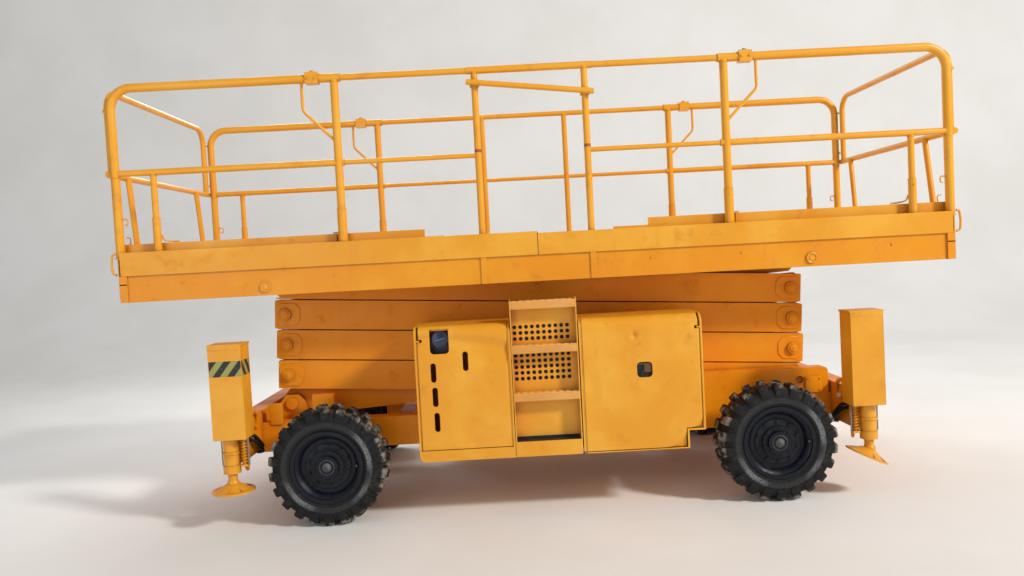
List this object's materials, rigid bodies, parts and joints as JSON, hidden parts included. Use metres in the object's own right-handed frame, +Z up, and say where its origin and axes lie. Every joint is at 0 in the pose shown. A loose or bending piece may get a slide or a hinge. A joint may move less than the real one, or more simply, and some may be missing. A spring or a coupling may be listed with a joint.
{
  "type": "scissor lift",
  "caption": "Wheeled rough-terrain work platform on a folding stack of box arms, with sliding deck extensions and stabiliser legs.",
  "frame": {"origin": "on the ground under the middle of the platform", "axes": "+X along the machine towards the fixed rear axle, +Y to the right side, +Z up"},
  "size_m": [5.67, 2.353, 2.984],
  "materials": {
    "yellow_paint": "weathered gloss paint",
    "deck_paint": "worn gloss paint",
    "tyre_rubber": "dusty rubber",
    "rim_black": "dark navy paint",
    "axle_black": "oily black",
    "rod_chrome": "polished"
  },
  "bodies": {
    "chassis": {"chassis_frame": "yellow_paint", "stabiliser_housings": "yellow_paint", "front_axle": "axle_black", "rear_axle": "axle_black", "cabinet_left": "yellow_paint", "cabinet_right": "yellow_paint", "ladder": "yellow_paint", "engine_block": "axle_black"},
    "knuckle_left": {"knuckle_left": "axle_black"},
    "knuckle_right": {"knuckle_right": "axle_black"},
    "tie_rod": {"tie_rod": "axle_black"},
    "wheel_front_left": {"tyre_front_left": "tyre_rubber", "rim_front_left": "rim_black"},
    "wheel_front_right": {"tyre_front_right": "tyre_rubber", "rim_front_right": "rim_black"},
    "wheel_rear_left": {"tyre_rear_left": "tyre_rubber", "rim_rear_left": "rim_black"},
    "wheel_rear_right": {"tyre_rear_right": "tyre_rubber", "rim_rear_right": "rim_black"},
    "inner_arms_1": {"inner_arms_1": "yellow_paint"},
    "outer_arms_1": {"outer_arms_1": "yellow_paint"},
    "inner_arms_2": {"inner_arms_2": "yellow_paint"},
    "outer_arms_2": {"outer_arms_2": "yellow_paint"},
    "inner_arms_3": {"inner_arms_3": "yellow_paint"},
    "outer_arms_3": {"outer_arms_3": "yellow_paint"},
    "inner_arms_4": {"inner_arms_4": "yellow_paint"},
    "outer_arms_4": {"outer_arms_4": "yellow_paint"},
    "platform": {"platform_frame": "yellow_paint", "platform_deck": "deck_paint", "fixed_rails": "yellow_paint"},
    "cylinder_barrel_lower": {"cylinder_barrel_lower": "yellow_paint"},
    "cylinder_rod_lower": {"cylinder_rod_lower": "rod_chrome"},
    "cylinder_barrel_upper": {"cylinder_barrel_upper": "yellow_paint"},
    "cylinder_rod_upper": {"cylinder_rod_upper": "rod_chrome"},
    "extension_front": {"extension_deck_front": "deck_paint", "extension_rails_front": "yellow_paint"},
    "extension_rear": {"extension_deck_rear": "deck_paint", "extension_rails_rear": "yellow_paint"},
    "gate": {"gate_bar": "yellow_paint"},
    "door_front_left": {"door_front_left": "yellow_paint"},
    "door_front_right": {"door_front_right": "yellow_paint"},
    "door_rear_left": {"door_rear_left": "yellow_paint"},
    "door_rear_right": {"door_rear_right": "yellow_paint"},
    "stabiliser_leg_front_left": {"stabiliser_leg_front_left": "yellow_paint"},
    "stabiliser_leg_front_right": {"stabiliser_leg_front_right": "yellow_paint"},
    "stabiliser_leg_rear_left": {"stabiliser_leg_rear_left": "yellow_paint"},
    "stabiliser_leg_rear_right": {"stabiliser_leg_rear_right": "yellow_paint"}
  },
  "joints": [
    {"name": "steering", "type": "hinge", "parent": "chassis", "child": "knuckle_left", "pos_m": [-1.4505, -0.76, 0.3875], "axis": [0, 0, 1], "range_deg": [-30, 30]},
    {"name": "steering_right", "type": "hinge", "parent": "chassis", "child": "knuckle_right", "pos_m": [-1.4505, 0.76, 0.3875], "axis": [0, 0, 1], "range_deg": [-30, 30]},
    {"name": "tie_rod_pivot", "type": "hinge", "parent": "knuckle_left", "child": "tie_rod", "pos_m": [-1.2505, -0.76, 0.2845], "axis": [0, 0, 1], "range_deg": [-30, 30]},
    {"name": "wheel_front_left_spin", "type": "hinge", "parent": "knuckle_left", "child": "wheel_front_left", "pos_m": [-1.4505, -0.993, 0.3875], "axis": [0, 1, 0], "continuous": true},
    {"name": "wheel_front_right_spin", "type": "hinge", "parent": "knuckle_right", "child": "wheel_front_right", "pos_m": [-1.4505, 0.993, 0.3875], "axis": [0, 1, 0], "continuous": true},
    {"name": "wheel_rear_left_spin", "type": "hinge", "parent": "chassis", "child": "wheel_rear_left", "pos_m": [1.5045, -0.993, 0.3875], "axis": [0, 1, 0], "continuous": true},
    {"name": "wheel_rear_right_spin", "type": "hinge", "parent": "chassis", "child": "wheel_rear_right", "pos_m": [1.5045, 0.993, 0.3875], "axis": [0, 1, 0], "continuous": true},
    {"name": "scissor_lift", "type": "hinge", "parent": "chassis", "child": "inner_arms_1", "pos_m": [-1.81, 0, 0.716], "axis": [0, -1, 0], "range_deg": [0, 50.2]},
    {"name": "centre_pivot_1", "type": "hinge", "parent": "inner_arms_1", "child": "outer_arms_1", "pos_m": [0, 0, 0.824], "axis": [0, -1, 0], "range_deg": [-100.4, 0]},
    {"name": "end_pivot_1", "type": "hinge", "parent": "outer_arms_1", "child": "inner_arms_2", "pos_m": [-1.81, 0, 0.932], "axis": [0, -1, 0], "range_deg": [0, 100.4]},
    {"name": "centre_pivot_2", "type": "hinge", "parent": "inner_arms_2", "child": "outer_arms_2", "pos_m": [0, 0, 1.04], "axis": [0, -1, 0], "range_deg": [-100.4, 0]},
    {"name": "end_pivot_2", "type": "hinge", "parent": "outer_arms_2", "child": "inner_arms_3", "pos_m": [-1.81, 0, 1.148], "axis": [0, -1, 0], "range_deg": [0, 100.4]},
    {"name": "centre_pivot_3", "type": "hinge", "parent": "inner_arms_3", "child": "outer_arms_3", "pos_m": [0, 0, 1.256], "axis": [0, -1, 0], "range_deg": [-100.4, 0]},
    {"name": "end_pivot_3", "type": "hinge", "parent": "outer_arms_3", "child": "inner_arms_4", "pos_m": [-1.81, 0, 1.364], "axis": [0, -1, 0], "range_deg": [0, 100.4]},
    {"name": "centre_pivot_4", "type": "hinge", "parent": "inner_arms_4", "child": "outer_arms_4", "pos_m": [0, 0, 1.472], "axis": [0, -1, 0], "range_deg": [-100.4, 0]},
    {"name": "platform_level", "type": "hinge", "parent": "outer_arms_4", "child": "platform", "pos_m": [-1.81, 0, 1.58], "axis": [0, -1, 0], "range_deg": [0, 50.2]},
    {"name": "cylinder_foot_lower", "type": "hinge", "parent": "inner_arms_1", "child": "cylinder_barrel_lower", "pos_m": [0.70553, 0, 0.8661], "axis": [0, -1, 0], "range_deg": [-112.46, 0]},
    {"name": "cylinder_stroke_lower", "type": "slide", "parent": "cylinder_barrel_lower", "child": "cylinder_rod_lower", "axis": [-0.9988, 0, 0.049], "range_m": [0, 0.46848]},
    {"name": "cylinder_foot_upper", "type": "hinge", "parent": "inner_arms_3", "child": "cylinder_barrel_upper", "pos_m": [0.70553, 0, 1.2981], "axis": [0, -1, 0], "range_deg": [-112.46, 0]},
    {"name": "cylinder_stroke_upper", "type": "slide", "parent": "cylinder_barrel_upper", "child": "cylinder_rod_upper", "axis": [-0.9988, 0, 0.049], "range_m": [0, 0.46848]},
    {"name": "extension_front_slide", "type": "slide", "parent": "platform", "child": "extension_front", "axis": [-1, 0, 0], "range_m": [0, 1]},
    {"name": "extension_rear_slide", "type": "slide", "parent": "platform", "child": "extension_rear", "axis": [1, 0, 0], "range_m": [0, 1]},
    {"name": "gate_slide", "type": "slide", "parent": "platform", "child": "gate", "axis": [0, 0, -1], "range_m": [0, 0.335]},
    {"name": "door_front_left_hinge", "type": "hinge", "parent": "chassis", "child": "door_front_left", "pos_m": [-0.8115, -1.115, 0.8], "axis": [0, 0, -1], "range_deg": [0, 110]},
    {"name": "door_front_right_hinge", "type": "hinge", "parent": "chassis", "child": "door_front_right", "pos_m": [-0.8115, 1.115, 0.8], "axis": [0, 0, 1], "range_deg": [0, 110]},
    {"name": "door_rear_left_hinge", "type": "hinge", "parent": "chassis", "child": "door_rear_left", "pos_m": [0.9955, -1.115, 0.8], "axis": [0, 0, 1], "range_deg": [0, 110]},
    {"name": "door_rear_right_hinge", "type": "hinge", "parent": "chassis", "child": "door_rear_right", "pos_m": [0.9955, 1.115, 0.8], "axis": [0, 0, -1], "range_deg": [0, 110]},
    {"name": "stabiliser_leg_front_left_drop", "type": "slide", "parent": "chassis", "child": "stabiliser_leg_front_left", "axis": [0, 0, -1], "range_m": [0, 0.45]},
    {"name": "stabiliser_leg_front_right_drop", "type": "slide", "parent": "chassis", "child": "stabiliser_leg_front_right", "axis": [0, 0, -1], "range_m": [0, 0.45]},
    {"name": "stabiliser_leg_rear_left_drop", "type": "slide", "parent": "chassis", "child": "stabiliser_leg_rear_left", "axis": [0, 0, -1], "range_m": [0, 0.45]},
    {"name": "stabiliser_leg_rear_right_drop", "type": "slide", "parent": "chassis", "child": "stabiliser_leg_rear_right", "axis": [0, 0, -1], "range_m": [0, 0.45]}
  ],
  "couplings": [
    {"joint": "steering_right", "follows": "steering", "ratio": 1},
    {"joint": "tie_rod_pivot", "follows": "steering", "ratio": -1},
    {"joint": "centre_pivot_1", "follows": "scissor_lift", "ratio": -2},
    {"joint": "end_pivot_1", "follows": "scissor_lift", "ratio": 2},
    {"joint": "centre_pivot_2", "follows": "scissor_lift", "ratio": -2},
    {"joint": "end_pivot_2", "follows": "scissor_lift", "ratio": 2},
    {"joint": "centre_pivot_3", "follows": "scissor_lift", "ratio": -2},
    {"joint": "end_pivot_3", "follows": "scissor_lift", "ratio": 2},
    {"joint": "centre_pivot_4", "follows": "scissor_lift", "ratio": -2},
    {"joint": "platform_level", "follows": "scissor_lift", "ratio": 1},
    {"joint": "cylinder_foot_lower", "follows": "scissor_lift", "ratio": -2.2379},
    {"joint": "cylinder_stroke_lower", "follows": "scissor_lift", "m_per_rad": 0.53417},
    {"joint": "cylinder_foot_upper", "follows": "scissor_lift", "ratio": -2.2379},
    {"joint": "cylinder_stroke_upper", "follows": "scissor_lift", "m_per_rad": 0.53417}
  ]
}
